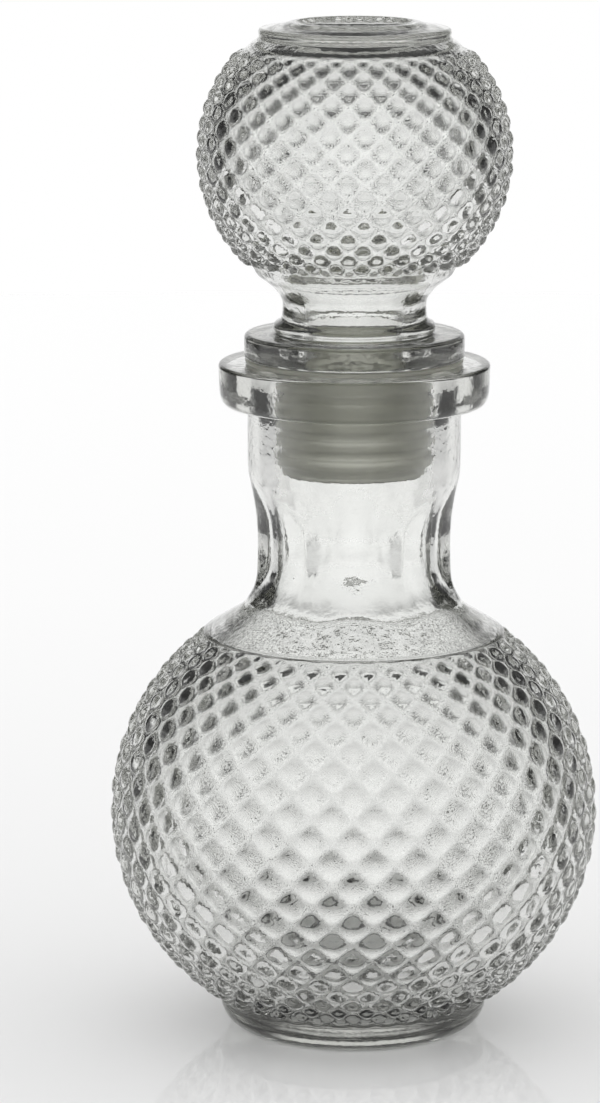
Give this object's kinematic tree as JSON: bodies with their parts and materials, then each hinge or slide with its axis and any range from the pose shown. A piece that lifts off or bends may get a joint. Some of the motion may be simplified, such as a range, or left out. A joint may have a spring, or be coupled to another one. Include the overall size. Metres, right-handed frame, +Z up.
{
  "type": "stoppered decanter",
  "caption": "Clear moulded-glass globe decanter with hobnailed body, panelled neck and a hollow hobnailed globe stopper on a ribbed plastic seal.",
  "frame": {"origin": "middle of the resting ring's plane, on the bottle's axis", "axes": "+Z up along the axis of bottle and stopper; -Y is the side that the picture shows, +X is to its right"},
  "size_m": [0.0846, 0.0846, 0.175],
  "materials": {
    "bottle_glass": "clear, fire-polished moulded glass",
    "stopper_glass": "clear, fire-polished moulded glass",
    "seal_plastic": "translucent soft plastic, satin"
  },
  "bodies": {
    "bottle": {"bottle": "bottle_glass"},
    "seal": {"seal": "seal_plastic"},
    "stopper": {"stopper": "stopper_glass"}
  },
  "joints": [
    {"name": "stopper_lift", "type": "slide", "parent": "bottle", "child": "seal", "axis": [0, 0, 1], "range_m": [0, 0.08]},
    {"name": "stopper_turn", "type": "hinge", "parent": "seal", "child": "stopper", "pos_m": [0, 0, 0.1175], "axis": [0, 0, 1], "continuous": true}
  ]
}
